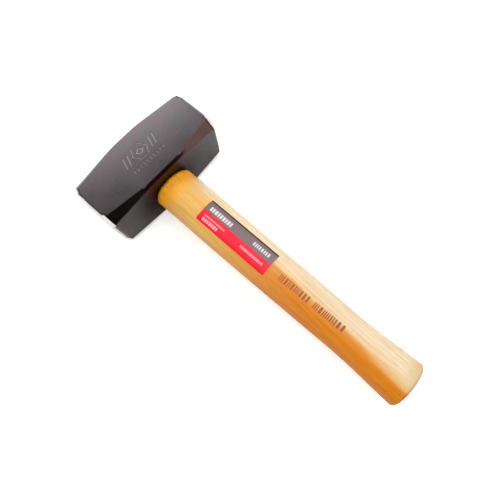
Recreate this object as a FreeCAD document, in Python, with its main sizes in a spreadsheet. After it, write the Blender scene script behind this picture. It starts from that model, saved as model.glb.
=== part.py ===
import FreeCAD, Part
import os

import Sketcher
from FreeCAD import Placement, Rotation, Vector

# Club hammer (lump hammer): a forged steel head on a hickory handle, wedged from the far side.
# Frame, in millimetres: the hammer lies on its lower cheek. Z=0 is the plane it lies on, +Z is up
# through the two cheeks, X runs from striking face to striking face, and the handle points to -Y.
# The origin is the middle of the lower cheek.

doc = FreeCAD.newDocument("club_hammer")
sheet = doc.addObject("Spreadsheet::Sheet", "sizes")
sheet_row = 0


def size(name, value):
    """Give the sheet one named value: a plain number, or a formula that starts with '='."""
    global sheet_row
    sheet_row += 1
    sheet.set(f"A{sheet_row}", name)
    sheet.set(f"B{sheet_row}", str(value))
    sheet.setAlias(f"B{sheet_row}", name)


# ---- head ----
size("head_length", 120.1)           # over the crowns of both striking faces
size("head_width", 49.5)             # mid length, from the handle side to the far side
size("head_height", 49.5)            # cheek to cheek
size("head_arch", 0.6)               # how much the two eye sides fall away towards the ends
size("long_edge_break", 1.9)         # leg of the long-edge chamfer at mid length
size("long_edge_end", 7.8)           # the same leg at the striking faces
size("long_edge_angle", 5.6)         # slope of the chamfer towards the striking faces, degrees
size("long_edge_radius", 140)        # blend between the level middle and the slope
size("face_bevel", 4.6)              # bevel round a striking face, before the face is crowned
size("face_crown", 0.8)              # rise of the crowned striking face

# ---- eye, an hourglass oval through the head ----
size("eye_waist_factor", 0.955)    # the narrowest place, as a share of the handle side
size("eye_flare_factor", 1.07)     # the far side, as a share of the handle side
size("eye_waist_place", 20)        # from the handle side to the narrowest place
size("eye_mouth_round", 1.0)
size("fit_gap", 0.02)              # left between pieces that are driven together

# ---- handle ----
size("handle_length", 236.4)       # the part that shows, from the head to the butt
size("shoulder_width", 37.3)
size("shoulder_step", 2.05)        # from the handle's side in to the eye, all round
size("waist_width", 33.0)
size("butt_width", 37.0)
size("handle_flatness", 0.71)      # thickness as a share of width
size("shoulder_round", 3.2)
size("butt_round", 2.8)
size("butt_dome", 0.3)
size("tenon_proud", 0.8)           # tenon left standing beyond the far side of the head

# ---- wedges ----
size("wood_wedge_thick", 4.4)
size("wood_wedge_tip", 0.8)
size("wood_wedge_depth", 30)
size("steel_wedge_thick", 3.2)
size("steel_wedge_tip", 0.5)
size("steel_wedge_depth", 22)

# ---- handle label ----
size("label_length", 69.4)
size("label_width", 19.8)
size("label_start", 39.8)          # from the head to the near end of the label
size("label_thick", 0.15)
size("label_corner", 0.8)
size("label_shift", 0.3)           # the sticker sits slightly to one side

# ---- emblem engraved in the upper cheek ----
size("emblem_reach", 34)           # along the head
size("emblem_hexagon", 8)          # corner radius of the hexagon in its middle
size("emblem_line", 0.9)
size("emblem_frame_height", 3.6)
size("emblem_frame_line", 0.6)
size("emblem_depth", 0.35)

# ---- sizes that follow from the ones above ----
size("half_length", "=head_length / 2")
size("half_width", "=head_width / 2")
size("half_height", "=head_height / 2")
size("end_half_width", "=half_width - head_arch")
size("arch_radius", "=(half_length ^ 2 + head_arch ^ 2) / (2 * head_arch)")
size("cut_middle", "=(half_width + half_height - long_edge_break) / sqrt(2)")
size("cut_end", "=(end_half_width + half_height - long_edge_end) / sqrt(2)")
size("blend_run", "=long_edge_radius * sin(long_edge_angle * 1deg)")
size("blend_drop", "=long_edge_radius * (1 - cos(long_edge_angle * 1deg))")
size("slope_run", "=(cut_middle - cut_end - blend_drop) / tan(long_edge_angle * 1deg)")
size("level_half", "=half_length - blend_run - slope_run")
size("cut_outer", "=half_width + half_height")
size("crown_half", "=min(end_half_width; half_height) - face_bevel")
size("crown_radius", "=(crown_half ^ 2 + face_crown ^ 2) / (2 * face_crown)")
size("crown_reach", "=head_width")
size("crown_edge", "=half_length - crown_radius + sqrt(crown_radius ^ 2 - crown_reach ^ 2)")
size("eye_length", "=shoulder_width - 2 * shoulder_step")
size("eye_width", "=shoulder_width * handle_flatness - 2 * shoulder_step")
size("eye_waist_y", "=-half_width + eye_waist_place")
size("steel_wedge_width", "=0.65 * eye_width")
size("steel_wedge_spacing", "=0.5 * eye_length")
size("tenon_top", "=half_width + tenon_proud")
size("butt_y", "=-half_width - handle_length")
size("dome_reach", "=butt_width / 2 + 4")
size("dome_radius", "=((butt_width / 2) ^ 2 + butt_dome ^ 2) / (2 * butt_dome)")
size("dome_edge", "=butt_y + dome_radius - sqrt(dome_radius ^ 2 - dome_reach ^ 2)")
size("label_middle", "=-half_width - label_start - label_length / 2")
doc.recompute()

# Handle stations: (share of the visible length, share of the shoulder-to-waist change,
# share of the waist-to-butt change). The grip is slimmest at the fourth fifth.
STATIONS = [
    (0.000, 1.00, 0.00),
    (0.172, 0.90, 0.00),
    (0.371, 0.75, 0.00),
    (0.565, 0.39, 0.00),
    (0.690, 0.14, 0.00),
    (0.793, 0.00, 0.00),
    (0.888, 0.00, 0.35),
    (0.970, 0.00, 0.88),
    (1.000, 0.00, 1.00),
]

S = "sizes."


def named(text):
    """Write the sheet's names into an expression: '#half_width' becomes 'sizes.half_width'."""
    return text.replace("#", S)


def value_of(text):
    """The number an expression stands for now, used as a sketch's starting value."""
    probe = doc.getObject("probe")
    if probe is None:
        probe = doc.addObject("App::FeaturePython", "probe")
        probe.addProperty("App::PropertyFloat", "value")
    probe.setExpression("value", named(text))
    probe.recompute()
    return float(probe.value)


def body(label):
    made = doc.addObject("PartDesign::Body", label)
    made.Label = label
    return made


def plane_of(owner, role):
    for feature in owner.Origin.OriginFeatures:
        if feature.Role == role:
            return feature
    raise ValueError(role)


def sketch_on(owner, role, name, offset=None, offset_axis="z", turn=None):
    """A sketch on one of its body's origin planes, shifted along an axis or turned."""
    sketch = owner.newObject("Sketcher::SketchObject", name)
    sketch.AttachmentSupport = [(plane_of(owner, role), "")]
    sketch.MapMode = "FlatFace"
    if turn is not None:
        sketch.AttachmentOffset = Placement(Vector(0, 0, 0), turn)
    if offset is not None:
        sketch.setExpression(f"AttachmentOffset.Base.{offset_axis}", named(offset))
    return sketch


def tie(sketch, kind, geometry, point, text, name):
    """Hold one coordinate of a point to an expression."""
    index = sketch.addConstraint(
        Sketcher.Constraint(kind, -1, 1, geometry, point, value_of(text))
    )
    sketch.renameConstraint(index, name)
    sketch.setExpression(f"Constraints.{name}", named(text))


def outline(sketch, corners, arcs=None, tag=""):
    """A closed outline through the corners; arcs gives {side: (radius, bulge_left)}."""
    arcs = arcs or {}
    points = [Vector(value_of(x), value_of(y), 0) for x, y in corners]
    count = len(points)
    sides = []
    for i in range(count):
        a = points[i]
        b = points[(i + 1) % count]
        if i in arcs:
            radius, bulge_left = arcs[i]
            r = value_of(radius)
            chord = b.sub(a)
            half = chord.Length / 2
            left = Vector(-chord.y, chord.x, 0).normalize()
            rise = r - (r * r - half * half) ** 0.5
            side = left if bulge_left else left.negative()
            middle = a.add(b).multiply(0.5).add(side.multiply(rise))
            sides.append(sketch.addGeometry(Part.Arc(a, middle, b), False))
        else:
            sides.append(sketch.addGeometry(Part.LineSegment(a, b), False))
    ends = []
    for i, side in enumerate(sides):
        a = points[i]
        start = sketch.getPoint(side, 1)
        ends.append((1, 2) if start.distanceToPoint(a) < 1e-6 else (2, 1))
    for i, side in enumerate(sides):
        j = (i + 1) % count
        sketch.addConstraint(
            Sketcher.Constraint("Coincident", side, ends[i][1], sides[j], ends[j][0])
        )
        tie(sketch, "DistanceX", side, ends[i][0], corners[i][0], f"{tag}x{i}")
        tie(sketch, "DistanceY", side, ends[i][0], corners[i][1], f"{tag}y{i}")
        if i in arcs:
            radius = arcs[i][0]
            index = sketch.addConstraint(
                Sketcher.Constraint("Radius", side, value_of(radius))
            )
            sketch.renameConstraint(index, f"{tag}r{i}")
            sketch.setExpression(f"Constraints.{tag}r{i}", named(radius))
    return sketch


def oval(owner, name, y_text, length_text, width_text):
    """An ellipse across the handle's axis at the given Y, its long axis along X."""
    # The XZ plane's own normal points to -Y, so its offset is minus Y.
    sketch = sketch_on(owner, "XZ_Plane", name, f"-({y_text})")
    a = value_of(length_text) / 2
    b = value_of(width_text) / 2
    ring = sketch.addGeometry(
        Part.Ellipse(Vector(a, 0, 0), Vector(0, b, 0), Vector(0, 0, 0)), False
    )
    sketch.exposeInternalGeometry(ring)
    sketch.addConstraint(Sketcher.Constraint("Coincident", ring, 3, -1, 1))
    sketch.addConstraint(Sketcher.Constraint("PointOnObject", 1, 1, -1))
    for geometry, text, label in ((1, length_text, "oval_length"), (2, width_text, "oval_width")):
        index = sketch.addConstraint(
            Sketcher.Constraint("Distance", geometry, value_of(text))
        )
        sketch.renameConstraint(index, label)
        sketch.setExpression(f"Constraints.{label}", named(text))
    return sketch


def loft(owner, kind, name, sections):
    made = owner.newObject(kind, name)
    made.Profile = sections[0]
    made.Sections = sections[1:]
    doc.recompute()
    return made


def pocket(owner, name, sketch, length_text, midplane=False, reversed_cut=False):
    before = owner.Shape.Volume
    made = owner.newObject("PartDesign::Pocket", name)
    made.Profile = sketch
    made.Midplane = midplane
    made.Reversed = reversed_cut
    made.setExpression("Length", named(length_text))
    doc.recompute()
    if owner.Shape.Volume >= before - 1e-6:
        raise RuntimeError(f"{name} cuts nothing")
    return made


def edges_where(shape, test):
    return [f"Edge{i + 1}" for i, edge in enumerate(shape.Edges) if test(edge)]


def eye_sections(owner, prefix, gap_text):
    """The eye's ovals, from just outside the handle side to just past the tenon's top, shrunk by
    a gap all round. Everything that fills the eye is lofted through the same places."""
    rows = [
        ("-#half_width - 1", "1"),
        ("#eye_waist_y", "#eye_waist_factor"),
        ("#tenon_top + 1", "#eye_flare_factor"),
    ]
    made = []
    for i, (y_text, factor) in enumerate(rows):
        made.append(
            oval(
                owner,
                f"{prefix}_{i}",
                y_text,
                f"#eye_length * {factor} - 2 * {gap_text}",
                f"#eye_width * {factor} - 2 * {gap_text}",
            )
        )
    return made


# ---------------------------------------------------------------- head
# One forging: a block with faintly arched eye sides, four tapering long-edge chamfers that run
# out towards the middle, a bevel round each striking face, and a crown on each face.
head = body("hammer_head")
blank = sketch_on(head, "XY_Plane", "head_outline")
outline(
    blank,
    [
        ("#half_length", "-#end_half_width"),
        ("#half_length", "#end_half_width"),
        ("-#half_length", "#end_half_width"),
        ("-#half_length", "-#end_half_width"),
    ],
    arcs={1: ("#arch_radius", False), 3: ("#arch_radius", False)},
)
block = head.newObject("PartDesign::Pad", "head_block")
block.Profile = blank
block.Midplane = True
block.setExpression("Length", named("#head_height"))
doc.recompute()

for number, angle in enumerate((45, 135, 225, 315)):
    # The sketch lies in the plane through the head's axis and one long edge; its own +Y
    # points out through that edge.
    cut = sketch_on(
        head, "XY_Plane", f"edge_profile_{number}", turn=Rotation(Vector(1, 0, 0), angle)
    )
    outline(
        cut,
        [
            ("-#half_length - 1", "#cut_end - tan(#long_edge_angle * 1deg)"),
            ("-#level_half - #blend_run", "#cut_middle - #blend_drop"),
            ("-#level_half", "#cut_middle"),
            ("#level_half", "#cut_middle"),
            ("#level_half + #blend_run", "#cut_middle - #blend_drop"),
            ("#half_length + 1", "#cut_end - tan(#long_edge_angle * 1deg)"),
            ("#half_length + 1", "#cut_outer"),
            ("-#half_length - 1", "#cut_outer"),
        ],
        arcs={1: ("#long_edge_radius", True), 3: ("#long_edge_radius", True)},
    )
    pocket(head, f"edge_chamfer_{number}", cut, "#head_width + #head_height", midplane=True)

half_length = float(sheet.half_length)
for name, side in (("left_bevel", -1), ("right_bevel", 1)):
    ring = edges_where(
        head.Shape,
        lambda edge: abs(edge.BoundBox.XMin - side * half_length) < 1e-4
        and edge.BoundBox.XLength < 1e-4,
    )
    before = head.Tip
    bevel = head.newObject("PartDesign::Chamfer", name)
    bevel.Base = (before, ring)
    bevel.setExpression("Size", named("#face_bevel"))
    doc.recompute()

# The crown: everything outside a large sphere is turned away at each end.
for name, sign in (("right_crown", ""), ("left_crown", "-")):
    profile = sketch_on(head, "XY_Plane", f"{name}_profile")
    outline(
        profile,
        [
            (f"{sign}#half_length", "0"),
            (f"{sign}#crown_edge", "#crown_reach"),
            (f"{sign}(#half_length + 5)", "#crown_reach"),
            (f"{sign}(#half_length + 5)", "0"),
        ],
        arcs={0: ("#crown_radius", sign == "-")},
    )
    before = head.Shape.Volume
    crown = head.newObject("PartDesign::Groove", name)
    crown.Profile = profile
    crown.ReferenceAxis = (profile, ["H_Axis"])
    crown.Angle = 360
    doc.recompute()
    if head.Shape.Volume >= before - 1:
        raise RuntimeError(f"{name} cuts nothing")

loft(
    head,
    "PartDesign::SubtractiveLoft",
    "eye",
    eye_sections(head, "eye_oval", "0"),
)

half_width = float(sheet.half_width)
mouth_edges = edges_where(
    head.Shape,
    lambda edge: abs(abs(edge.BoundBox.YMin) - half_width) < 0.3
    and edge.BoundBox.YLength < 0.3
    and edge.BoundBox.XLength < float(sheet.eye_length) * 1.3
    and edge.BoundBox.ZLength > 5
    and abs(edge.BoundBox.ZMin + edge.BoundBox.ZMax) < 1,
)
before = head.Tip
mouth = head.newObject("PartDesign::Fillet", "eye_mouths")
mouth.Base = (before, mouth_edges)
mouth.setExpression("Radius", named("#eye_mouth_round"))
doc.recompute()

# The emblem is a plain pattern: a hexagon ring with a lozenge ring in it, slanted strokes on
# either side, and a row of small frames below. It is one shallow pocket from the upper cheek.
emblem = sketch_on(head, "XY_Plane", "emblem", "#half_height")
HEXAGON_Y = 3.5
FRAME_Y = -9.7
for ring, radius in (("a", "#emblem_hexagon"), ("b", "(#emblem_hexagon - #emblem_line)")):
    outline(
        emblem,
        [
            (f"{radius} * cos({60 * k}deg)", f"{HEXAGON_Y} + {radius} * sin({60 * k}deg)")
            for k in range(6)
        ],
        tag=f"hexagon_{ring}_",
    )
for ring, share in (("a", 1.0), ("b", 0.55)):
    outline(
        emblem,
        [
            (f"#emblem_hexagon * {0.55 * share}", f"{HEXAGON_Y}"),
            ("0", f"{HEXAGON_Y} + #emblem_hexagon * {0.40 * share}"),
            (f"-#emblem_hexagon * {0.55 * share}", f"{HEXAGON_Y}"),
            ("0", f"{HEXAGON_Y} - #emblem_hexagon * {0.40 * share}"),
        ],
        tag=f"lozenge_{ring}_",
    )
for k, side in enumerate((-1, 1)):
    for n, share in enumerate((0.34, 0.46)):
        near = f"{side} * #emblem_reach * {share}"
        outline(
            emblem,
            [
                (f"{near} - 2.2", f"{HEXAGON_Y} - 5"),
                (f"{near} - 2.2 + #emblem_line", f"{HEXAGON_Y} - 5"),
                (f"{near} + 2.2", f"{HEXAGON_Y} + 5"),
                (f"{near} + 2.2 - #emblem_line", f"{HEXAGON_Y} + 5"),
            ],
            tag=f"stroke_{k}{n}_",
        )
FRAMES = 5
FRAME_GAP = 1.2
for k in range(FRAMES):
    near = f"(#emblem_reach * ({k} - {FRAMES / 2}) / {FRAMES} + {FRAME_GAP})"
    far = f"(#emblem_reach * ({k + 1} - {FRAMES / 2}) / {FRAMES} - {FRAME_GAP})"
    for ring, inset in (("a", "0"), ("b", "#emblem_frame_line")):
        outline(
            emblem,
            [
                (f"{near} + {inset}", f"{FRAME_Y} + {inset}"),
                (f"{far} - {inset}", f"{FRAME_Y} + {inset}"),
                (f"{far} - {inset}", f"{FRAME_Y} + #emblem_frame_height - {inset}"),
                (f"{near} + {inset}", f"{FRAME_Y} + #emblem_frame_height - {inset}"),
            ],
            tag=f"frame_{k}{ring}_",
        )
pocket(head, "emblem_marks", emblem, "#emblem_depth")
head.setExpression("Placement.Base.z", named("#half_height"))

# ---------------------------------------------------------------- handle
# An oval hickory grip, fullest at the shoulder and the butt, whose tenon fills the eye.


def handle_ovals(owner, prefix, extra):
    made = []
    for i, (place, slim, swell) in enumerate(STATIONS):
        width = (
            f"(#waist_width + (#shoulder_width - #waist_width) * {slim}"
            f" + (#butt_width - #waist_width) * {swell})"
        )
        made.append(
            oval(
                owner,
                f"{prefix}_{i}",
                f"(-#half_width - #handle_length * {place})",
                f"{width} + 2 * {extra}",
                f"{width} * #handle_flatness + 2 * {extra}",
            )
        )
    return made


handle = body("handle")
grip = loft(handle, "PartDesign::AdditiveLoft", "grip", handle_ovals(handle, "grip_oval", "0"))

butt_y = -float(sheet.half_width) - float(sheet.handle_length)
dome_profile = sketch_on(handle, "XY_Plane", "butt_dome_profile")
outline(
    dome_profile,
    [
        ("0", "#butt_y"),
        ("#dome_reach", "#dome_edge"),
        ("#dome_reach", "#butt_y - 5"),
        ("0", "#butt_y - 5"),
    ],
    arcs={0: ("#dome_radius", False)},
)
dome = handle.newObject("PartDesign::Groove", "butt_dome")
dome.Profile = dome_profile
dome.ReferenceAxis = (dome_profile, ["V_Axis"])
dome.Angle = 360
doc.recompute()


def round_end(owner, name, y_low, y_high, radius_text):
    """Round the one closed edge that lies between two Y values."""
    ring = edges_where(
        owner.Shape,
        lambda edge: edge.BoundBox.YMin > y_low
        and edge.BoundBox.YMax < y_high
        and edge.BoundBox.XLength > 10,
    )
    before = owner.Tip
    made = owner.newObject("PartDesign::Fillet", name)
    made.Base = (before, ring)
    made.setExpression("Radius", named(radius_text))
    doc.recompute()
    return made


round_end(handle, "butt_edge", butt_y - 1, butt_y + 3, "#butt_round")
round_end(handle, "shoulder_edge", -half_width - 0.5, -half_width + 0.5, "#shoulder_round")
loft(
    handle,
    "PartDesign::AdditiveLoft",
    "tenon",
    eye_sections(handle, "tenon_oval", "#fit_gap"),
)


def trim_top(owner):
    """Saw everything off level with the tenon's top."""
    saw = sketch_on(owner, "XY_Plane", f"{owner.Name}_top_profile")
    outline(
        saw,
        [
            ("-#eye_length", "#tenon_top"),
            ("#eye_length", "#tenon_top"),
            ("#eye_length", "#tenon_top + 5"),
            ("-#eye_length", "#tenon_top + 5"),
        ],
    )
    pocket(owner, f"{owner.Name}_top", saw, "#head_height", midplane=True)


trim_top(handle)


def taper(sketch, plane_order, centre, thick, tip, depth, gap, tag=""):
    """A wedge-shaped outline driven down from the tenon's top."""
    rows = [
        ("#tenon_top + 2", f"({centre}) + {thick} / 2 + {gap}"),
        ("#tenon_top", f"({centre}) + {thick} / 2 + {gap}"),
        (f"#tenon_top - {depth} - {gap}", f"({centre}) + {tip} / 2 + {gap}"),
        (f"#tenon_top - {depth} - {gap}", f"({centre}) - {tip} / 2 - {gap}"),
        ("#tenon_top", f"({centre}) - {thick} / 2 - {gap}"),
        ("#tenon_top + 2", f"({centre}) - {thick} / 2 - {gap}"),
    ]
    if plane_order == "xy":
        rows = [(across, along) for along, across in rows]
    return outline(sketch, rows, tag=tag)


WOOD = ("#wood_wedge_thick", "#wood_wedge_tip", "#wood_wedge_depth")
STEEL = ("#steel_wedge_thick", "#steel_wedge_tip", "#steel_wedge_depth")
STEEL_PLACES = {"left": "-#steel_wedge_spacing / 2", "right": "#steel_wedge_spacing / 2"}


def cut_steel_slots(owner):
    for side, centre in STEEL_PLACES.items():
        slot = sketch_on(owner, "XY_Plane", f"{owner.Name}_{side}_slot_profile")
        taper(slot, "xy", centre, *STEEL, "#fit_gap")
        pocket(
            owner,
            f"{owner.Name}_{side}_slot",
            slot,
            "#steel_wedge_width + 2 * #fit_gap",
            midplane=True,
        )


kerf = sketch_on(handle, "YZ_Plane", "kerf_profile")
taper(kerf, "yz", "0", *WOOD, "#fit_gap")
pocket(handle, "kerf", kerf, "#eye_length * 1.5", midplane=True)
cut_steel_slots(handle)
handle.setExpression("Placement.Base.z", named("#half_height"))

# ---------------------------------------------------------------- wood wedge
# Cut from the same hourglass as the eye, so its two ends follow the eye wall.
wood = body("wood_wedge")
loft(
    wood,
    "PartDesign::AdditiveLoft",
    "wedge_blank",
    eye_sections(wood, "wedge_oval", "#fit_gap"),
)
trim_top(wood)
for name, sign in (("upper", ""), ("lower", "-")):
    waste = sketch_on(wood, "YZ_Plane", f"{name}_waste_profile")
    outline(
        waste,
        [
            ("#tenon_top + 1", f"{sign}#wood_wedge_thick / 2"),
            ("#tenon_top", f"{sign}#wood_wedge_thick / 2"),
            ("#tenon_top - #wood_wedge_depth", f"{sign}#wood_wedge_tip / 2"),
            ("#tenon_top - #wood_wedge_depth", "0"),
            ("-#half_width - 1", "0"),
            ("-#half_width - 1", f"{sign}#eye_width"),
            ("#tenon_top + 1", f"{sign}#eye_width"),
        ],
    )
    pocket(wood, f"{name}_waste", waste, "#eye_length * 1.5", midplane=True)
cut_steel_slots(wood)
wood.setExpression("Placement.Base.z", named("#half_height"))

# ---------------------------------------------------------------- steel wedges
steel_wedges = []
for side, centre in STEEL_PLACES.items():
    steel = body(f"steel_wedge_{side}")
    profile = sketch_on(steel, "XY_Plane", f"steel_{side}_profile")
    outline(
        profile,
        [
            (f"{centre} - #steel_wedge_thick / 2", "#tenon_top"),
            (f"{centre} + #steel_wedge_thick / 2", "#tenon_top"),
            (f"{centre} + #steel_wedge_tip / 2", "#tenon_top - #steel_wedge_depth"),
            (f"{centre} - #steel_wedge_tip / 2", "#tenon_top - #steel_wedge_depth"),
        ],
    )
    plate = steel.newObject("PartDesign::Pad", f"steel_{side}_plate")
    plate.Profile = profile
    plate.Midplane = True
    plate.setExpression("Length", named("#steel_wedge_width"))
    doc.recompute()
    steel.setExpression("Placement.Base.z", named("#half_height"))
    steel_wedges.append(steel)

# ---------------------------------------------------------------- label
# A thin sticker that follows the handle's upper side.
label = body("handle_label")
loft(
    label,
    "PartDesign::AdditiveLoft",
    "label_blank",
    handle_ovals(label, "label_outer", "#label_thick"),
)
trim = sketch_on(label, "XY_Plane", "label_trim_profile")
LABEL_NEAR = "(#label_middle + #label_length / 2)"
LABEL_FAR = "(#label_middle - #label_length / 2)"
LABEL_LEFT = "(#label_shift - #label_width / 2)"
LABEL_RIGHT = "(#label_shift + #label_width / 2)"
outline(
    trim,
    [
        (f"{LABEL_LEFT} + #label_corner", LABEL_FAR),
        (f"{LABEL_RIGHT} - #label_corner", LABEL_FAR),
        (LABEL_RIGHT, f"{LABEL_FAR} + #label_corner"),
        (LABEL_RIGHT, f"{LABEL_NEAR} - #label_corner"),
        (f"{LABEL_RIGHT} - #label_corner", LABEL_NEAR),
        (f"{LABEL_LEFT} + #label_corner", LABEL_NEAR),
        (LABEL_LEFT, f"{LABEL_NEAR} - #label_corner"),
        (LABEL_LEFT, f"{LABEL_FAR} + #label_corner"),
    ],
    arcs={
        1: ("#label_corner", False),
        3: ("#label_corner", False),
        5: ("#label_corner", False),
        7: ("#label_corner", False),
    },
    tag="edge_",
)
outline(
    trim,
    [
        ("-#shoulder_width", "#butt_y - 10"),
        ("#shoulder_width", "#butt_y - 10"),
        ("#shoulder_width", "#half_width"),
        ("-#shoulder_width", "#half_width"),
    ],
    tag="outside_",
)
pocket(label, "label_trim", trim, "#head_height * 2", midplane=True)
lower = sketch_on(label, "XY_Plane", "label_lower_profile", "#waist_width * #handle_flatness / 4")
outline(
    lower,
    [
        ("-#shoulder_width", "#butt_y - 10"),
        ("#shoulder_width", "#butt_y - 10"),
        ("#shoulder_width", "#half_width"),
        ("-#shoulder_width", "#half_width"),
    ],
)
pocket(label, "label_lower", lower, "#head_height")
loft(
    label,
    "PartDesign::SubtractiveLoft",
    "label_inner",
    handle_ovals(label, "label_hollow", "0"),
)
label.setExpression("Placement.Base.z", named("#half_height"))

# ---------------------------------------------------------------- check and write
doc.removeObject("probe")
doc.recompute()
nodes = [head, handle, wood] + steel_wedges + [label]
for thing in doc.Objects:
    if "Invalid" in thing.State or "Error" in thing.State:
        raise RuntimeError(f"{thing.Name} is {thing.State}")
os.makedirs("parts", exist_ok=True)
for node in nodes:
    shape = node.Shape
    if shape.isNull() or not shape.isValid() or len(shape.Solids) != 1:
        raise RuntimeError(f"{node.Label} is not one sound solid")
    shape.exportStep(f"parts/{node.Label}.step")
    box = shape.optimalBoundingBox()
    print(
        f"{node.Label}: {shape.Volume / 1000:.2f} cm3,"
        f" X {box.XMin:.2f}..{box.XMax:.2f}"
        f" Y {box.YMin:.2f}..{box.YMax:.2f}"
        f" Z {box.ZMin:.2f}..{box.ZMax:.2f}"
    )
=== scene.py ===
# %% [markdown]
# # A club hammer in a white studio
#
# The hammer's exact solids come from the CAD model: the forged head, the hickory handle, the
# wedges and the sticker's thin film. This file dresses them. It gives every piece a material
# that is worked out from position, adds the marks that are printed on the sticker and on the
# wood, and sets up the studio: a floor, a few soft lights and a camera.
#
# Everything is in metres. The hammer lies on its lower cheek, so Z = 0 is the floor, X runs from
# one striking face to the other, and the handle points towards -Y.

# %% Load the frame
import math
import random

import bmesh
import bpy
from mathutils import Matrix, Vector
from mathutils.bvhtree import BVHTree


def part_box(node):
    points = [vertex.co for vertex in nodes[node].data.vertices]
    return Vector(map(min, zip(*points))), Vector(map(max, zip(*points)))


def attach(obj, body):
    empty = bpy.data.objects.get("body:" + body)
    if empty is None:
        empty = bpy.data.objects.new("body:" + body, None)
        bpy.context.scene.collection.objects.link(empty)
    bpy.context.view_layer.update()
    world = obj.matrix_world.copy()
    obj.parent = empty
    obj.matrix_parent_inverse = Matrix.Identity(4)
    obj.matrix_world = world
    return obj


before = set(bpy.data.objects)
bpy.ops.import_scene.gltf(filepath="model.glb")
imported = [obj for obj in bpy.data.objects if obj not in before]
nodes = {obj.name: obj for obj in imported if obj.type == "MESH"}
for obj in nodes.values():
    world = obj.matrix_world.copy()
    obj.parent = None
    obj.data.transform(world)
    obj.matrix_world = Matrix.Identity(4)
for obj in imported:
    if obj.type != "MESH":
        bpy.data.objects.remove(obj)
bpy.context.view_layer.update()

MM = 0.001
scene = bpy.context.scene
print("CAD nodes:", ", ".join(sorted(nodes)))

# %% [markdown]
# ## Sizes the materials and marks need
#
# A material that knows where it is can change at the right place: bare steel begins on the
# striking faces, the emblem's marks lie just below the cheek, and the sapwood starts part way
# across the handle. These are the places it needs, read from the CAD nodes where possible.

# %% Places
head_low, head_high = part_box("hammer_head")
handle_low, handle_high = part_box("handle")
label_low, label_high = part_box("handle_label")
HEAD_END = head_high[0]
CHEEK = head_high[2]
MID_HEIGHT = CHEEK / 2
HANDLE_SIDE = head_low[1]
BUTT = handle_low[1]
TENON_TIP = handle_high[1]
print(f"striking faces at x = {HEAD_END:.4f}, cheek at z = {CHEEK:.4f}")
print(f"butt at y = {BUTT:.4f}, tenon's tip at y = {TENON_TIP:.5f}")

# %% [markdown]
# ## Small helpers for building materials
#
# A material is a tree of nodes. `add` places one node and fills its sockets, `join` wires two
# sockets together, and `maths` places one sum, with short names for the commonest sums. With
# these, a whole material reads from top to bottom like a recipe.

# %% Nodes and sums
def add(tree, kind, inputs=None, **settings):
    """Places a node; inputs are socket values or links, settings are the node's own options."""
    made = tree.nodes.new(kind)
    for name, value in settings.items():
        setattr(made, name, value)
    for name, value in (inputs or {}).items():
        join(tree, value, made.inputs[name])
    return made


def join(tree, value, socket):
    """Wires an output into a socket, or sets the socket to a plain value."""
    if isinstance(value, bpy.types.NodeSocket):
        tree.links.new(value, socket)
    else:
        socket.default_value = value


def maths(tree, operation, a, b=0.5):
    """One sum on one or two values."""
    made = add(tree, "ShaderNodeMath", operation=operation)
    join(tree, a, made.inputs[0])
    join(tree, b, made.inputs[1])
    return made.outputs[0]


def plus(tree, a, b):
    return maths(tree, "ADD", a, b)


def minus(tree, a, b):
    return maths(tree, "SUBTRACT", a, b)


def times(tree, a, b):
    return maths(tree, "MULTIPLY", a, b)


def how_far(tree, a, b):
    """The distance from the line where a and b are both nought."""
    return maths(tree, "SQRT", plus(tree, times(tree, a, a), times(tree, b, b)))


def spread(tree, value, amount, base):
    """A base, plus an amount that the value scales."""
    made = add(tree, "ShaderNodeMath", operation="MULTIPLY_ADD")
    join(tree, value, made.inputs[0])
    join(tree, amount, made.inputs[1])
    join(tree, base, made.inputs[2])
    return made.outputs[0]


print("sums ready: plus, minus, times, how_far, spread")

# %% [markdown]
# ## Masks, colours and patterns
#
# A mask is a value from 0 to 1 that says where a finish is. `fade` makes one from any distance,
# `mix` lays one colour over another through it, and `noise` on a stretched position gives the
# blotches and streaks that keep a finish from looking drawn. Positions are in metres, so a
# stretch of 500 makes blotches about 2 mm across.

# %% Masks, colours and patterns
def fade(tree, value, start, end):
    """0 before start and 1 after end, with a smooth change between. It also works downhill."""
    made = add(tree, "ShaderNodeMapRange", interpolation_type="SMOOTHSTEP")
    join(tree, value, made.inputs["Value"])
    join(tree, start, made.inputs["From Min"])
    join(tree, end, made.inputs["From Max"])
    return made.outputs["Result"]


def mix(tree, factor, a, b, blend="MIX"):
    """One colour over another. Sockets 6 and 7 are the Mix node's two colours."""
    made = add(tree, "ShaderNodeMix", data_type="RGBA", blend_type=blend)
    join(tree, factor, made.inputs["Factor"])
    join(tree, a, made.inputs[6])
    join(tree, b, made.inputs[7])
    return made.outputs[2]


def stretch(tree, position, scale, rotation=(0, 0, 0)):
    """The position scaled by a different amount along each axis, to draw a pattern out."""
    made = add(tree, "ShaderNodeMapping", {"Vector": position})
    made.inputs["Scale"].default_value = scale
    made.inputs["Rotation"].default_value = rotation
    return made.outputs["Vector"]


def noise(tree, position, detail=2.0, roughness=0.5):
    """Smooth random blotches, one to each unit of the stretched position."""
    made = add(
        tree,
        "ShaderNodeTexNoise",
        {"Vector": position, "Scale": 1.0, "Detail": detail, "Roughness": roughness},
    )
    return made.outputs["Fac"]


def parts_of(tree, position):
    """X, Y and Z of a position as three values."""
    made = add(tree, "ShaderNodeSeparateXYZ", {"Vector": position})
    return made.outputs["X"], made.outputs["Y"], made.outputs["Z"]


def bump(tree, shader, height, strength, depth, normal=None):
    """Small relief that only tilts the surface's normal."""
    made = add(tree, "ShaderNodeBump", {"Height": height, "Strength": strength})
    made.inputs["Distance"].default_value = depth
    if normal is not None:
        join(tree, normal, made.inputs["Normal"])
    join(tree, made.outputs["Normal"], shader.inputs["Normal"])


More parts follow.
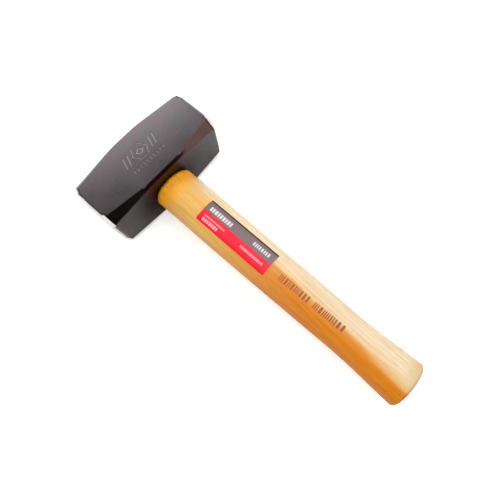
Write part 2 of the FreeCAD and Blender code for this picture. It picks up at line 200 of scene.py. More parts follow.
print("patterns ready: fade, mix, stretch, noise, parts_of, bump")

# %% [markdown]
# ## Groups and materials
#
# An effect that several materials share, such as wear or grain, is a node group: built once, with
# named sockets, and placed in each material with its own values. A material starts from the
# Principled shader and the piece's own coordinates, so its patterns stay put on the piece.

# %% Groups and materials
def new_group(name, inputs, outputs):
    """A node group with named sockets; returns the tree and its two end nodes."""
    tree = bpy.data.node_groups.new(name, "ShaderNodeTree")
    for socket, kind in inputs.items():
        tree.interface.new_socket(socket, in_out="INPUT", socket_type=kind)
    for socket, kind in outputs.items():
        tree.interface.new_socket(socket, in_out="OUTPUT", socket_type=kind)
    start = tree.nodes.new("NodeGroupInput")
    end = tree.nodes.new("NodeGroupOutput")
    return tree, start, end


def use_group(tree, group, inputs):
    """Places a node group in a material."""
    made = tree.nodes.new("ShaderNodeGroup")
    made.node_tree = group
    for name, value in inputs.items():
        join(tree, value, made.inputs[name])
    return made


def new_material(name):
    """An empty material: its tree, its object position and its Principled shader."""
    material = bpy.data.materials.new(name)
    material.use_nodes = True
    tree = material.node_tree
    shader = tree.nodes["Principled BSDF"]
    position = add(tree, "ShaderNodeTexCoord").outputs["Object"]
    return material, tree, position, shader


def paint(obj, material):
    """Gives a piece one material in place of what it had."""
    obj.data.materials.clear()
    obj.data.materials.append(material)


print("builders ready: new_group, use_group, new_material, paint")

# %% [markdown]
# ## Worn edges
#
# Every real edge is slightly round, catches light, and loses its finish first. The Bevel node
# gives the normal that a rounded edge would have. Where that differs from the true normal there
# is an edge, so the difference makes a mask. Noise breaks it up, since wear is never even.

# %% Worn edge group
worn_edge, start, end = new_group(
    "worn_edge",
    {"Position": "NodeSocketVector", "Grain": "NodeSocketFloat"},
    {"Wear": "NodeSocketFloat"},
)
EDGE_RADIUS = 0.35 * MM
rounded = add(worn_edge, "ShaderNodeBevel", {"Radius": EDGE_RADIUS}, samples=6)
true_normal = add(worn_edge, "ShaderNodeNewGeometry").outputs["Normal"]
agreement = add(worn_edge, "ShaderNodeVectorMath", operation="DOT_PRODUCT")
join(worn_edge, rounded.outputs["Normal"], agreement.inputs[0])
join(worn_edge, true_normal, agreement.inputs[1])
edge = fade(worn_edge, agreement.outputs["Value"], 0.999, 0.93)
scaled = add(worn_edge, "ShaderNodeVectorMath", operation="SCALE")
join(worn_edge, start.outputs["Position"], scaled.inputs[0])
join(worn_edge, start.outputs["Grain"], scaled.inputs["Scale"])
patches = fade(worn_edge, noise(worn_edge, scaled.outputs["Vector"], 4.0, 0.6), 0.42, 0.62)
join(worn_edge, times(worn_edge, edge, patches), end.inputs["Wear"])
print("edge wear looks", EDGE_RADIUS * 1000, "mm each side of an edge")

# %% [markdown]
# ## The head: satin black lacquer over forged steel
#
# The head is dipped in dark lacquer after forging, then its striking faces are ground bright.
# One material does both, because both are skins of the same solid. The distance from the middle,
# |x|, tells lacquer from bare steel. A little noise keeps the line from being ruled, and the
# grinding reaches further in at the four corners of each face.

# %% Where the head is bare
head_steel, tree, position, shader = new_material("head_steel")
x, y, z = parts_of(tree, position)
reach = maths(tree, "ABSOLUTE", x)
from_middle = maths(tree, "ABSOLUTE", minus(tree, z, MID_HEIGHT))

BARE_FROM = HEAD_END - 2.9 * MM
LINE_WANDER = 0.9 * MM
CORNER_EXTRA = 1.7 * MM
ragged = noise(tree, stretch(tree, position, (260, 260, 260)), 3.0)
corner = plus(tree, maths(tree, "ABSOLUTE", y), from_middle)
corner = fade(tree, corner, 36 * MM, 40.5 * MM)
ground = plus(tree, reach, times(tree, ragged, LINE_WANDER))
ground = plus(tree, ground, times(tree, corner, CORNER_EXTRA))
bare = fade(tree, ground, BARE_FROM + 0.3 * MM, BARE_FROM + 0.6 * MM)
print("bare steel from |x| =", round(BARE_FROM * 1000, 1), "mm outwards")

# %% [markdown]
# ## The lacquer's colour
#
# The lacquer is nearly black, in broad clouds where it ran thicker or thinner. The emblem's rings
# and strokes are a third of a millimetre deep and look grey, so depth below the cheek picks them
# out. The edges are rubbed, and a little steel shows through there.

# %% Lacquer colour
LACQUER_THICK = (0.0008, 0.0004, 0.0005, 1)
LACQUER_THIN = (0.003, 0.0012, 0.0018, 1)
EMBLEM_GREY = (0.24, 0.21, 0.22, 1)
EMBLEM_STRENGTH = 0.8
EMBLEM_REACH = 21 * MM
EMBLEM_FULL_GREY = 0.28 * MM
RUBBED_STEEL = (0.16, 0.15, 0.15, 1)
RUBBED_STRENGTH = 0.35
clouds = noise(tree, stretch(tree, position, (38, 38, 38)), 3.0)
lacquer = mix(tree, fade(tree, clouds, 0.3, 0.7), LACQUER_THICK, LACQUER_THIN)
in_emblem = fade(tree, z, CHEEK - 0.12 * MM, CHEEK - EMBLEM_FULL_GREY)
in_emblem = times(tree, in_emblem, fade(tree, reach, EMBLEM_REACH, EMBLEM_REACH - MM))
in_emblem = times(tree, in_emblem, fade(tree, z, CHEEK - MM, CHEEK - 0.8 * MM))
lacquer = mix(tree, times(tree, in_emblem, EMBLEM_STRENGTH), lacquer, EMBLEM_GREY)
worn = use_group(tree, worn_edge, {"Position": position, "Grain": 420.0})
rubbed = times(tree, worn.outputs["Wear"], RUBBED_STRENGTH)
lacquer = mix(tree, rubbed, lacquer, RUBBED_STEEL)
print("emblem marks are fully grey from", round(EMBLEM_FULL_GREY * 1000, 2), "mm below the cheek")

# %% [markdown]
# ## Painted shade on the lacquer
#
# On the handle's side the lacquer carries painted shade: a dark, reddish long oval round the eye,
# where the handle shades the face, and a strip along the middle of the upper edge that hides its
# highlight. A thin rim beside the bare steel gets the same painted shade. Each place is a mask,
# and the masks together turn the colour a little redder and lower how much the lacquer mirrors.

# %% Painted shade on the head
EYE_SHIFT = 4 * MM
EYE_HALF_WIDTH = 18.5 * MM
EYE_HALF_HEIGHT = 13.2 * MM
PAINTED_SHADE_RED = (0.009, 0.002, 0.004, 1)
GLOSS = 0.5
GLOSS_LOST_TO_SHADE = 0.42
RIM_SHADE = 0.85
eye_x = maths(tree, "DIVIDE", plus(tree, x, EYE_SHIFT), EYE_HALF_WIDTH)
eye_z = maths(tree, "DIVIDE", minus(tree, z, MID_HEIGHT), EYE_HALF_HEIGHT)
from_eye = plus(tree, how_far(tree, eye_x, eye_z), times(tree, clouds, 0.3))
# Painted shade: a dark oval round the eye, where the handle shades the face.
handle_side_shade = fade(tree, from_eye, 2.5, 1.1)
# Painted shade along the middle of the upper edge, which hides the edge's highlight.
upper_edge_shade = fade(tree, z, CHEEK - 2.8 * MM, CHEEK - 2.0 * MM)
upper_edge_shade = times(tree, upper_edge_shade, fade(tree, reach, 27 * MM, 19 * MM))
handle_side = fade(tree, y, HANDLE_SIDE + 2.4 * MM, HANDLE_SIDE + 2.0 * MM)
handle_side_shade = times(tree, maths(tree, "MAXIMUM", handle_side_shade, upper_edge_shade), handle_side)
# The thin rim beside the bare steel gets painted shade too.
rim = fade(tree, ground, BARE_FROM - 1.3 * MM, BARE_FROM - 0.3 * MM)
painted_shade = maths(tree, "MAXIMUM", handle_side_shade, times(tree, rim, RIM_SHADE))
# All the painted shade turns the lacquer redder and less shiny.
lacquer = mix(tree, painted_shade, lacquer, PAINTED_SHADE_RED)
gloss = minus(tree, GLOSS, times(tree, painted_shade, GLOSS_LOST_TO_SHADE))
join(tree, gloss, shader.inputs["Specular IOR Level"])
print("shine falls from", GLOSS, "to", round(GLOSS - GLOSS_LOST_TO_SHADE, 2), "where the lacquer is dull")

# %% [markdown]
# ## Bare steel, and how rough both finishes are
#
# Grinding leaves a fine grain that varies both the colour and the roughness of the bare steel. It
# is drawn out along the head, so it is fine on the striking faces and streaks on their bevels. The
# lacquer's roughness follows its clouds.

# %% Bare steel and roughness
STEEL_GREY = (0.60, 0.59, 0.57, 1)
STEEL_BRIGHT = (0.82, 0.81, 0.79, 1)
grinding = noise(tree, stretch(tree, position, (300, 2600, 2600), (0.3, 0, 0)), 2.0)
bright_steel = mix(tree, grinding, STEEL_GREY, STEEL_BRIGHT)
join(tree, mix(tree, bare, lacquer, bright_steel), shader.inputs["Base Color"])
join(tree, bare, shader.inputs["Metallic"])
rough = add(tree, "ShaderNodeMix", {"Factor": bare})
join(tree, spread(tree, clouds, 0.16, 0.20), rough.inputs[2])
join(tree, spread(tree, grinding, 0.25, 0.16), rough.inputs[3])
join(tree, rough.outputs[0], shader.inputs["Roughness"])
print("the faces are metal and the rest is lacquer, each with its own roughness")

# %% [markdown]
# ## Relief and the tint of the shine
#
# The Bevel node rounds every edge of the head, less near the emblem, whose strokes are fine. At
# the tip of each crowned face many thin triangles meet, so the true normal is used there. Over
# that lies a fine orange-peel relief from the dip. The shine is tinted in warm and cool blooms,
# and red in the painted shade round the eye, as a painted reflection of the shaded handle.

# %% Relief and shine
WARM_SHINE = (1.0, 0.82, 0.87, 1)
COOL_SHINE = (0.92, 0.87, 0.91, 1)
# The next tint is a painted reflection: the red of the shaded handle in the lacquer.
SHADE_SHINE_RED = (1.0, 0.66, 0.85, 1)
LACQUER_IOR = 1.65
PEEL_STRENGTH = 0.04
PEEL_DEPTH = 0.25 * MM
RADIUS_LOST = 0.25 * MM
near_emblem = fade(tree, reach, EMBLEM_REACH + 2 * MM, EMBLEM_REACH)
near_emblem = times(tree, near_emblem, fade(tree, z, CHEEK - 2 * MM, CHEEK - MM))
edge_radius = spread(tree, near_emblem, -RADIUS_LOST, EDGE_RADIUS)
bevelled = add(tree, "ShaderNodeBevel", {"Radius": edge_radius}, samples=6)
crown_tip = times(tree, bare, fade(tree, how_far(tree, y, from_middle), 6 * MM, 4 * MM))
facets = add(tree, "ShaderNodeNewGeometry").outputs["True Normal"]
smooth = add(tree, "ShaderNodeMix", {"Factor": crown_tip}, data_type="VECTOR")
join(tree, bevelled.outputs["Normal"], smooth.inputs[4])
join(tree, facets, smooth.inputs[5])
peel = noise(tree, stretch(tree, position, (900, 900, 900)), 2.0)
bump(tree, shader, peel, PEEL_STRENGTH, PEEL_DEPTH, smooth.outputs[1])
bloom = fade(tree, noise(tree, stretch(tree, position, (55, 55, 55)), 2.0), 0.36, 0.64)
tint = mix(tree, bloom, WARM_SHINE, COOL_SHINE)
# Painted reflection: in the painted shade round the eye the shine turns red.
tint = mix(tree, handle_side_shade, tint, SHADE_SHINE_RED)
join(tree, tint, shader.inputs["Specular Tint"])
shader.inputs["IOR"].default_value = LACQUER_IOR
paint(nodes["hammer_head"], head_steel)
print("head material has", len(tree.nodes), "nodes")

# %% [markdown]
# ## Wood
#
# A tree grows a ring each year, so the pattern inside a plank is a set of tubes round the pith.
# `wood_grain` measures the distance from a pith line that lies outside the piece, wobbles it with
# stretched noise, and turns it into rings. Fibres and pores are noise that is fine across the
# grain and long along it. Because all of it is worked out in three dimensions, the same rings
# come out as lines along the side and as curves on the sawn end.

# %% Wood grain group
wood_grain, start, end = new_group(
    "wood_grain",
    {
        "Position": "NodeSocketVector",
        "Pith": "NodeSocketVector",
        "Ring width": "NodeSocketFloat",
    },
    {
        "Rings": "NodeSocketFloat",
        "Fibres": "NodeSocketFloat",
        "Pores": "NodeSocketFloat",
    },
)
from_pith = add(wood_grain, "ShaderNodeVectorMath", operation="SUBTRACT")
join(wood_grain, start.outputs["Position"], from_pith.inputs[0])
join(wood_grain, start.outputs["Pith"], from_pith.inputs[1])
across_pith, _, above_pith = parts_of(wood_grain, from_pith.outputs["Vector"])
wobble = noise(wood_grain, stretch(wood_grain, start.outputs["Position"], (70, 9, 70)), 4.0)
radius = plus(
    wood_grain,
    how_far(wood_grain, across_pith, above_pith),
    times(wood_grain, wobble, 13 * MM),
)
turns = maths(wood_grain, "DIVIDE", radius, start.outputs["Ring width"])
wave = maths(wood_grain, "SINE", times(wood_grain, turns, 2 * math.pi))
wave = spread(wood_grain, wave, 0.5, 0.5)
join(wood_grain, maths(wood_grain, "POWER", wave, 2.2), end.inputs["Rings"])
fibres = noise(wood_grain, stretch(wood_grain, start.outputs["Position"], (700, 13, 700)), 5.0, 0.7)
join(wood_grain, fibres, end.inputs["Fibres"])
vessels = noise(wood_grain, stretch(wood_grain, start.outputs["Position"], (2100, 95, 2100)), 2.0)
join(wood_grain, fade(wood_grain, vessels, 0.60, 0.72), end.inputs["Pores"])
print("wood grain group has", len(wood_grain.nodes), "nodes")

# %% [markdown]
# ## The handle: hickory with a pale stripe of sapwood and painted highlight
#
# The stick is golden near the head. A pale band enters along one edge and widens until it covers
# half of the butt: partly sapwood, and partly a painted highlight from the light on the upper side.
# Beside it the heartwood deepens to orange. Each zone is a mask from position: a sloping line for
# the pale band, and a fade along the handle for the orange.

# %% Heartwood, and sapwood with painted highlight
hickory, tree, position, shader = new_material("hickory")
x, y, _ = parts_of(tree, position)
SAP_SLOPE = 0.060
SAP_AT_HEAD = 15.6 * MM
SAP_WANDER = 9 * MM
HEART_GOLD = (0.72, 0.42, 0.10, 1)
HEART_ORANGE = (0.66, 0.21, 0.0, 1)
SAPWOOD_AND_HIGHLIGHT = (0.79, 0.67, 0.47, 1)
wander = noise(tree, stretch(tree, position, (160, 14, 160)), 3.0)
wander = times(tree, minus(tree, wander, 0.5), SAP_WANDER)
across = minus(tree, x, times(tree, y, SAP_SLOPE))
across = minus(tree, plus(tree, across, wander), SAP_AT_HEAD)
# The pale band is partly sapwood and partly a painted highlight from the light on the upper side.
sap_and_highlight = fade(tree, across, -8.0 * MM, 4.0 * MM)
towards_butt = fade(tree, y, -0.06, -0.17)
deep = times(tree, towards_butt, fade(tree, across, -2 * MM, -9 * MM))
heart = mix(tree, deep, HEART_GOLD, HEART_ORANGE)
wood = mix(tree, sap_and_highlight, heart, SAPWOOD_AND_HIGHLIGHT)
print("sapwood is measured from a line at x =", round(SAP_AT_HEAD * 1000, 1), "mm at y = 0")

# %% [markdown]
# ## The handle's grain
#
# Rings, fibres and pores come from the shared group. The stick is sawn a little off the line of
# the tree, so the grain leans by a few degrees. Rings and fibres tint the wood, and pores are
# dark dashes that show less in the sapwood.

# %% Handle grain
GRAIN_LEAN = math.radians(2.5)
HANDLE_PITH = (0.075, 0, MID_HEIGHT - 0.03)
HANDLE_RING_WIDTH = 3.4 * MM
RING_BROWN = (0.60, 0.37, 0.16, 1)
FIBRE_BROWN = (0.76, 0.58, 0.38, 1)
PORE_BROWN = (0.26, 0.11, 0.02, 1)
RING_STRENGTH = 0.13
FIBRE_STRENGTH = 0.42
PORE_STRENGTH = 0.42
PORE_LOST_IN_SAP = 0.22
leaning = stretch(tree, position, (1, 1, 1), (0, 0, GRAIN_LEAN))
grain = use_group(
    tree,
    wood_grain,
    {"Position": leaning, "Pith": HANDLE_PITH, "Ring width": HANDLE_RING_WIDTH},
)
ring_shade = times(tree, grain.outputs["Rings"], RING_STRENGTH)
wood = mix(tree, ring_shade, wood, RING_BROWN, "MULTIPLY")
fibre_shade = times(tree, fade(tree, grain.outputs["Fibres"], 0.42, 0.62), FIBRE_STRENGTH)
wood = mix(tree, fibre_shade, wood, FIBRE_BROWN, "MULTIPLY")
pore_depth = minus(tree, PORE_STRENGTH, times(tree, sap_and_highlight, PORE_LOST_IN_SAP))
wood = mix(tree, times(tree, grain.outputs["Pores"], pore_depth), wood, PORE_BROWN)
print("grain leans by", round(math.degrees(GRAIN_LEAN), 1), "degrees")

# %% [markdown]
# ## The handle by the head
#
# The wood is painted a deeper orange where the handle enters the head: painted shade, where the
# head shades the shoulder. Short dark ticks run along the grain there. The shoulder's painted
# shade stops inside the head, because the tenon's sawn end, which shows on the far side, is a
# plain brown.

# %% Shoulder and tenon
SHOULDER_SHADE_ORANGE = (0.93, 0.39, 0.010, 1)
TICK_BROWN = (0.40, 0.11, 0.01, 1)
TENON_BROWN = (0.50, 0.31, 0.13, 1)
SHOULDER_SHADE_STRENGTH = 0.92
TICK_STRENGTH = 0.7
TENON_STRENGTH = 0.75
SHOULDER_REACH = 24 * MM
# The deeper orange by the head is painted shade, where the head shades the shoulder.
shoulder_shade = fade(tree, y, HANDLE_SIDE - SHOULDER_REACH, HANDLE_SIDE - 7 * MM)
shoulder_shade = times(tree, shoulder_shade, fade(tree, y, 0.0, HANDLE_SIDE))
wood = mix(tree, times(tree, shoulder_shade, SHOULDER_SHADE_STRENGTH), wood, SHOULDER_SHADE_ORANGE)
ticks = noise(tree, stretch(tree, position, (900, 110, 900)), 2.0)
near_head = fade(tree, y, HANDLE_SIDE - 12 * MM, HANDLE_SIDE - 3 * MM)
ticks = times(tree, fade(tree, ticks, 0.55, 0.66), near_head)
wood = mix(tree, times(tree, ticks, TICK_STRENGTH), wood, TICK_BROWN)
tenon_end = fade(tree, y, TENON_TIP - 3.55 * MM, TENON_TIP - 0.55 * MM)
wood = mix(tree, times(tree, tenon_end, TENON_STRENGTH), wood, TENON_BROWN)
print("orange shoulder reaches", round(SHOULDER_REACH * 1000, 1), "mm out of the head")

# %% [markdown]
# ## The butt
#
# The end of the butt is a little paler where it was sawn, most of all in the sapwood. The sapwood
# also shows marks of use first: small dings, and over the last few millimetres a browner tone.

# %% Butt
SAWN_PALE = (0.80, 0.58, 0.36, 1)
DING_BROWN = (0.62, 0.42, 0.20, 1)
HAND_BROWN = (0.62, 0.44, 0.20, 1)
DING_STRENGTH = 0.55
HAND_STRENGTH = 0.70
DINGED_LENGTH = 34 * MM
sawn = fade(tree, y, BUTT + 4.5 * MM, BUTT + 0.8 * MM)
sawn = times(tree, sawn, spread(tree, sap_and_highlight, 0.4, 0.1))
wood = mix(tree, sawn, wood, SAWN_PALE)
near_butt = fade(tree, y, BUTT + DINGED_LENGTH, BUTT + 12 * MM)
dings = noise(tree, stretch(tree, position, (230, 90, 230)), 3.0)
dings = times(tree, times(tree, fade(tree, dings, 0.50, 0.62), near_butt), sap_and_highlight)
wood = mix(tree, times(tree, dings, DING_STRENGTH), wood, DING_BROWN)
handled = fade(tree, y, BUTT + 16 * MM, BUTT + 3 * MM)
handled = times(tree, times(tree, handled, sap_and_highlight), HAND_STRENGTH)
wood = mix(tree, handled, wood, HAND_BROWN)
join(tree, wood, shader.inputs["Base Color"])
print("dings on the last", round(DINGED_LENGTH * 1000, 1), "mm")

# %% [markdown]
# ## The handle's finish
#
# A thin coat of satin lacquer lies over the wood and adds a soft highlight. The fibres stand a
# little proud and the pores lie a little low, so both feed one relief.

# %% Handle finish
join(tree, spread(tree, grain.outputs["Fibres"], 0.22, 0.34), shader.inputs["Roughness"])
shader.inputs["Specular IOR Level"].default_value = 0.3
shader.inputs["Coat Weight"].default_value = 0.10
shader.inputs["Coat Roughness"].default_value = 0.28
relief = minus(tree, grain.outputs["Fibres"], grain.outputs["Pores"])
bump(tree, shader, relief, 0.25, 0.12 * MM)
paint(nodes["handle"], hickory)
print("handle material has", len(tree.nodes), "nodes")

# %% [markdown]
# ## The wooden wedge
#
# The kerf's wooden wedge is driven end grain up. It has no finish, so it is rougher and darker
# than the handle, with rings about half as wide.

# %% Wooden wedge
wedge_wood, tree, position, shader = new_material("wedge_wood")
WEDGE_PITH = (0.05, 0, MID_HEIGHT + 0.02)
WEDGE_RING_WIDTH = 1.8 * MM
WEDGE_LIGHT = (0.42, 0.24, 0.10, 1)
WEDGE_DARK = (0.24, 0.12, 0.045, 1)
WEDGE_PORE = (0.08, 0.04, 0.02, 1)
grain = use_group(
    tree,
    wood_grain,
    {"Position": position, "Pith": WEDGE_PITH, "Ring width": WEDGE_RING_WIDTH},
)
wood = mix(tree, grain.outputs["Rings"], WEDGE_LIGHT, WEDGE_DARK)
wood = mix(tree, times(tree, grain.outputs["Pores"], 0.5), wood, WEDGE_PORE)
join(tree, wood, shader.inputs["Base Color"])
join(tree, spread(tree, grain.outputs["Fibres"], 0.25, 0.55), shader.inputs["Roughness"])
bump(tree, shader, grain.outputs["Fibres"], 0.35, 0.15 * MM)
paint(nodes["wood_wedge"], wedge_wood)
print("wooden wedge has rings", round(WEDGE_RING_WIDTH * 1000, 1), "mm wide")

# %% [markdown]
# ## The steel wedges
#
# The two steel wedges cross the wooden one. Only their ends show. They are plain mill steel,
# clouded with scale, and bright along the edges that the driving has battered.

# %% Steel wedges
wedge_steel, tree, position, shader = new_material("wedge_steel")
SCALE_DARK = (0.22, 0.21, 0.20, 1)
SCALE_LIGHT = (0.44, 0.43, 0.42, 1)
BATTERED = (0.70, 0.69, 0.67, 1)
scale_clouds = noise(tree, stretch(tree, position, (500, 500, 500)), 3.0)
worn = use_group(tree, worn_edge, {"Position": position, "Grain": 900.0})
steel = mix(tree, scale_clouds, SCALE_DARK, SCALE_LIGHT)
steel = mix(tree, worn.outputs["Wear"], steel, BATTERED)
join(tree, steel, shader.inputs["Base Color"])
join(tree, spread(tree, scale_clouds, 0.3, 0.3), shader.inputs["Roughness"])
shader.inputs["Metallic"].default_value = 0.9
bump(tree, shader, scale_clouds, 0.3, 0.1 * MM)
STEEL_WEDGES = ("steel_wedge_left", "steel_wedge_right")
for name in STEEL_WEDGES:
    paint(nodes[name], wedge_steel)
print("one steel for", len(STEEL_WEDGES), "wedges")

# %% [markdown]
# ## The sticker's film
#
# The sticker is one film printed in two colours: dark grey on the upper half and red on the
# lower. A dark line along its upper edge is painted shadow of that edge. The print's edge is
# where x changes, with a little noise for the dots of the press. The film is glossy and picks up
# the wood's fibres.

# %% Sticker film
film, tree, position, shader = new_material("sticker_film")
x, _, _ = parts_of(tree, position)
LABEL_MIDDLE = (label_low[0] + label_high[0]) / 2
FILM_GREY = (0.19, 0.135, 0.14, 1)
FILM_RED = (0.80, 0.004, 0.030, 1)
EDGE_SHADOW_BLACK = (0.018, 0.014, 0.014, 1)
PRESS_DOTS = (0.5, 0.45, 0.45, 1)
press = noise(tree, stretch(tree, position, (1500, 1500, 1500)), 2.0)
print_x = plus(tree, x, times(tree, minus(tree, press, 0.5), 0.2 * MM))
upper = fade(tree, print_x, LABEL_MIDDLE - 0.05 * MM, LABEL_MIDDLE + 0.05 * MM)
# Painted shadow: a dark line along the film's upper edge.
edge_shadow_line = fade(tree, print_x, label_high[0] - 1.3 * MM, label_high[0] - 0.9 * MM)
ink = mix(tree, upper, FILM_RED, FILM_GREY)
ink = mix(tree, edge_shadow_line, ink, EDGE_SHADOW_BLACK)
ink = mix(tree, times(tree, press, 0.25), ink, PRESS_DOTS, "MULTIPLY")
join(tree, ink, shader.inputs["Base Color"])
join(tree, spread(tree, press, 0.12, 0.24), shader.inputs["Roughness"])
shader.inputs["Specular IOR Level"].default_value = 0.3
under = noise(tree, stretch(tree, position, (700, 20, 700)), 2.0)
bump(tree, shader, under, 0.15, 0.08 * MM)
paint(nodes["handle_label"], film)
print("sticker's colours meet at x =", round(LABEL_MIDDLE * 1000, 1), "mm")

# %% [markdown]
# ## Marks printed on a curved surface
#
# A printed mark is ink, but it is modelled here as a very thin block so that it has a clean edge.
# Each block has to follow the wood's curve, so its points are dropped straight down onto the
# surface below, which is found by casting a ray.

# %% Finding the surface
RAY_START = 0.1


def surface_below(name):
    """A CAD node's mesh as something that rays can hit."""
    mesh = nodes[name].data
    points = [v.co.copy() for v in mesh.vertices]
    faces = [tuple(p.vertices) for p in mesh.polygons]
    return BVHTree.FromPolygons(points, faces)


def height_at(surface, x, y):
    """Height of the highest surface point at (x, y)."""
    return surface.ray_cast(Vector((x, y, RAY_START)), Vector((0, 0, -1)))[0].z


label_surface = surface_below("handle_label")
wood_surface = surface_below("handle")
label_centre = ((label_low[0] + label_high[0]) / 2, (label_low[1] + label_high[1]) / 2)
print("top of the sticker at z =", round(height_at(label_surface, *label_centre), 4))

# %% [markdown]
# ## Thin blocks
#
# `lay_blocks` makes many blocks as one piece. Each starts as a unit square cut into a grid, which
# is scaled, turned, moved to its place and dropped onto the surface. Extruding it gives the block
# its other side, and that lies a little way inside the surface, so no light shows under the edge.

# %% Laying thin blocks
PRINT_RISE = 0.02 * MM
BLOCK_STEP = 0.8 * MM


def lay_blocks(name, blocks, surface, material):
    """One piece of many blocks, each (centre x, centre y, along x, along y, turn)."""
    bm = bmesh.new()
    for cx, cy, width, length, turn in blocks:
        cuts = max(1, round(max(width, length) / BLOCK_STEP))
        made = bmesh.ops.create_grid(bm, x_segments=cuts, y_segments=cuts, size=0.5)
        place = Matrix.Translation((cx, cy, 0)) @ Matrix.Rotation(turn, 4, "Z")
        place = place @ Matrix.Diagonal((width, length, 1, 1))
        bmesh.ops.transform(bm, matrix=place, verts=made["verts"])
        for vert in made["verts"]:
            vert.co.z = height_at(surface, vert.co.x, vert.co.y) + PRINT_RISE
        faces = list({face for vert in made["verts"] for face in vert.link_faces})
        skirt = bmesh.ops.extrude_face_region(bm, geom=faces)
        lowered = [item for item in skirt["geom"] if isinstance(item, bmesh.types.BMVert)]
        bmesh.ops.translate(bm, vec=(0, 0, -2 * PRINT_RISE), verts=lowered)
        new_faces = [item for item in skirt["geom"] if isinstance(item, bmesh.types.BMFace)]
        bmesh.ops.reverse_faces(bm, faces=new_faces)
    bmesh.ops.recalc_face_normals(bm, faces=bm.faces)
    mesh = bpy.data.meshes.new(name)
    bm.to_mesh(mesh)
    bm.free()
    piece = bpy.data.objects.new(name, mesh)
    scene.collection.objects.link(piece)
    paint(piece, material)
    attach(piece, "root")
    print(name, "has", len(blocks), "blocks and", len(mesh.polygons), "faces")


# %% [markdown]
# ## Ink
#
# Ink on wood sinks in unevenly, so its colour breaks up with the fibres. Ink on film is denser.
# One function makes both, with a different colour and amount of speckle.

# %% Ink materials
def make_ink(name, colour, thin_colour, speckle):
    """Ink in one colour, thinner in spots."""
    ink_material, tree, position, shader = new_material(name)
    blots = noise(tree, stretch(tree, position, (2400, 500, 2400)), 3.0)
    thin = times(tree, fade(tree, blots, 0.45, 0.7), speckle)
    join(tree, mix(tree, thin, colour, thin_colour), shader.inputs["Base Color"])
    join(tree, spread(tree, blots, 0.3, 0.35), shader.inputs["Roughness"])
    bump(tree, shader, blots, 0.1, 0.03 * MM)
    return ink_material


white_ink = make_ink("white_ink", (0.68, 0.64, 0.64, 1), (0.5, 0.4, 0.4, 1), 0.5)
pink_ink = make_ink("pink_ink", (0.80, 0.38, 0.42, 1), (0.7, 0.2, 0.25, 1), 0.4)
brown_ink = make_ink("brown_ink", (0.29, 0.048, 0.010, 1), (0.46, 0.14, 0.02, 1), 0.6)
print("inks:", ", ".join(made.name for made in (white_ink, pink_ink, brown_ink)))

# %% [markdown]
# ## The sticker's print
#
# The rows of words are replaced by rows of plain bars of uneven width, at the same places and the
# same height. A row is given as shares of the sticker: where it starts and ends along it, and
# where it starts and ends across it. The seed keeps every run the same.

# %% Sticker print
LABEL_LONG = label_high[1] - label_low[1]
LABEL_WIDE = label_high[0] - label_low[0]

# Each row: start and finish along the sticker, top and bottom across it, how many bars it has,
# and the share of a bar's place that stays open.
WHITE_ROWS = (
    (0.057, 0.385, 0.22, 0.41, 9, 0.30),
    (0.69, 0.93, 0.20, 0.36, 8, 0.40),
)
PINK_ROWS = (
    (0.057, 0.29, 0.77, 0.90, 7, 0.32),
    (0.057, 0.36, 0.635, 0.70, 14, 0.45),
    (0.60, 0.93, 0.66, 0.76, 16, 0.45),
)


def bar_row(start, finish, top, bottom, count, gap_share, dice):
    """Bars side by side along the sticker, between two shares of its length."""
    weights = [dice.uniform(0.7, 1.3) for _ in range(count)]
    unit = (finish - start) * LABEL_LONG / sum(weights)
    height = (bottom - top) * LABEL_WIDE
    cx = label_high[0] - (top + bottom) / 2 * LABEL_WIDE
    cursor = label_high[1] - start * LABEL_LONG
    blocks = []
    for weight in weights:
        length = weight * unit
        blocks.append((cx, cursor - length / 2, height, length * (1 - gap_share), 0.0))
        cursor -= length
    return blocks


dice = random.Random(7)
white_bars = [bar for row in WHITE_ROWS for bar in bar_row(*row, dice)]
pink_bars = [bar for row in PINK_ROWS for bar in bar_row(*row, dice)]
lay_blocks("sticker_bars_white", white_bars, label_surface, white_ink)
lay_blocks("sticker_bars_pink", pink_bars, label_surface, pink_ink)

# %% [markdown]
# ## The print on the wood
#
# A handle like this carries two printed words. They are replaced by two groups of plain upright
# bars of uneven width, in the same brown, at the same place and height. The run of bars is not
# quite in line with the handle, so each bar is turned to suit.

# %% Handle print
PRINT_START = Vector((-1.9 * MM, -0.1440))
PRINT_END = Vector((-0.9 * MM, -0.2035))
PRINT_HEIGHT = 5.2 * MM
PRINT_GROUPS = ((0.0, 0.47), (0.53, 1.0))
BARS_PER_GROUP = 13
BAR_WEIGHTS = (0.7, 0.7, 1.0, 1.6)
BAR_SHARE = 0.52
print_run = PRINT_END - PRINT_START
print_turn = math.atan2(print_run.x, -print_run.y)
dice = random.Random(3)
strokes = []
for group_start, group_end in PRINT_GROUPS:
    weights = [dice.choice(BAR_WEIGHTS) for _ in range(BARS_PER_GROUP)]
    unit = (group_end - group_start) * print_run.length / sum(weights)
    cursor = group_start * print_run.length
    for weight in weights:
        middle = PRINT_START + print_run.normalized() * (cursor + weight * unit / 2)
        bar = BAR_SHARE * weight * unit
        strokes.append((middle.x, middle.y, PRINT_HEIGHT, bar, print_turn))
        cursor += weight * unit
lay_blocks("handle_print", strokes, wood_surface, brown_ink)

# %% [markdown]
# ## The floor
#
# A large matt white floor. It gives off a little light of its own, but only to the camera: Light
# Path tells a camera's ray from the rest. So the floor looks white without brightening the hammer.

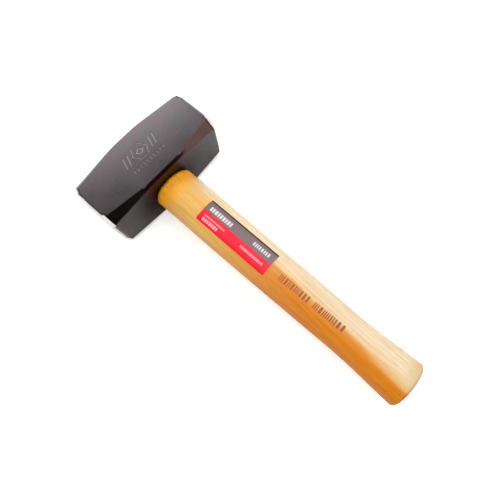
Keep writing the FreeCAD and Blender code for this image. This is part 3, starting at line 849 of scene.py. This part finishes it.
# %% Floor
FLOOR_HALF = 3.0
FLOOR_GLOW = 0.50
FLOOR_WHITE = (0.93, 0.93, 0.93, 1)
floor_material, tree, position, shader = new_material("studio_floor")
shader.inputs["Base Color"].default_value = FLOOR_WHITE
shader.inputs["Roughness"].default_value = 0.9
shader.inputs["Emission Color"].default_value = (1, 1, 1, 1)
seen = add(tree, "ShaderNodeLightPath").outputs["Is Camera Ray"]
join(tree, times(tree, seen, FLOOR_GLOW), shader.inputs["Emission Strength"])
bm = bmesh.new()
bmesh.ops.create_grid(bm, x_segments=1, y_segments=1, size=FLOOR_HALF)
floor_mesh = bpy.data.meshes.new("floor")
bm.to_mesh(floor_mesh)
bm.free()
floor = bpy.data.objects.new("floor", floor_mesh)
scene.collection.objects.link(floor)
paint(floor, floor_material)
print("floor is", 2 * FLOOR_HALF, "m wide")

# %% [markdown]
# ## The lights
#
# The world is dim, and six soft lights do the work. The key and the overhead light stand above.
# One behind the head is what the upper cheek mirrors, and a warm one beyond the butt tinges what
# faces it. Two low ones on the left lift the side that the others leave dark. Big lights cast soft
# shadows and fill the lacquer with one even sheen. A light's power is worked out from how bright
# it should look, so that its size can change without changing that.

# %% Lights
WORLD_STRENGTH = 0.03
world = bpy.data.worlds.new("studio")
world.use_nodes = True
background = world.node_tree.nodes["Background"]
background.inputs["Color"].default_value = (1, 1, 1, 1)
background.inputs["Strength"].default_value = WORLD_STRENGTH
scene.world = world
scene.view_settings.view_transform = "Standard"


def soft_light(name, place, target, width, height, radiance, colour=(1, 1, 1)):
    """A rectangular light at a place, turned to face a target, as bright as a surface can look."""
    data = bpy.data.lights.new(name, "AREA")
    data.shape = "RECTANGLE"
    data.size = width
    data.size_y = height
    data.energy = radiance * math.pi * width * height
    data.color = colour
    lamp = bpy.data.objects.new(name, data)
    scene.collection.objects.link(lamp)
    lamp.location = place
    aim = Vector(target) - Vector(place)
    lamp.rotation_euler = aim.to_track_quat("-Z", "Y").to_euler()
    print(name, "is", round(aim.length, 2), "m away and gives", round(data.energy, 2), "W")


GRIP = (0, -0.1, 0)
SHOULDER = (0, -0.05, 0)
PALE_RED = (1.0, 0.68, 0.60)
soft_light("key", (0.72, -0.15, 1.2), GRIP, 0.9, 0.9, radiance=3.3)
soft_light("overhead", (-0.15, -0.1, 1.4), GRIP, 1.2, 1.2, radiance=2.0)
soft_light("behind_the_head", (0.26, 1.08, 0.86), (0, 0, 0), 0.95, 0.70, radiance=7.8)
soft_light("warm_side", (0.66, -0.95, 0.55), SHOULDER, 0.50, 0.50, radiance=2.9, colour=PALE_RED)
soft_light("low_side", (-1.05, 0.35, 0.32), SHOULDER, 1.2, 0.6, radiance=1.2)
soft_light("low_front", (-0.60, -0.15, 0.25), (0, -0.08, 0.02), 0.3, 0.3, radiance=2.4)

# %% [markdown]
# ## The camera
#
# The camera stands close above the left of the grip and looks down towards the head, rolled so
# that the handle runs to the lower right of the frame. Its turn is given by two directions, right
# and up, and the third, back, is square to both.

# %% Camera
CAMERA_PLACE = (-0.04408, -0.17067, 0.29204)
CAMERA_RIGHT = (0.6659, -0.7443, -0.0526)
CAMERA_UP = (0.7283, 0.6331, 0.2625)
LENS = 25.26
SENSOR_WIDTH = 36.0
camera_data = bpy.data.cameras.new("camera")
camera_data.lens = LENS
camera_data.sensor_width = SENSOR_WIDTH
camera = bpy.data.objects.new("camera", camera_data)
scene.collection.objects.link(camera)
right = Vector(CAMERA_RIGHT).normalized()
up = Vector(CAMERA_UP)
up = (up - right * up.dot(right)).normalized()
back = right.cross(up)
turn = Matrix((right, up, back)).transposed()
camera.matrix_world = Matrix.Translation(CAMERA_PLACE) @ turn.to_4x4()
scene.camera = camera
print("camera looks along", [round(v, 3) for v in -back])
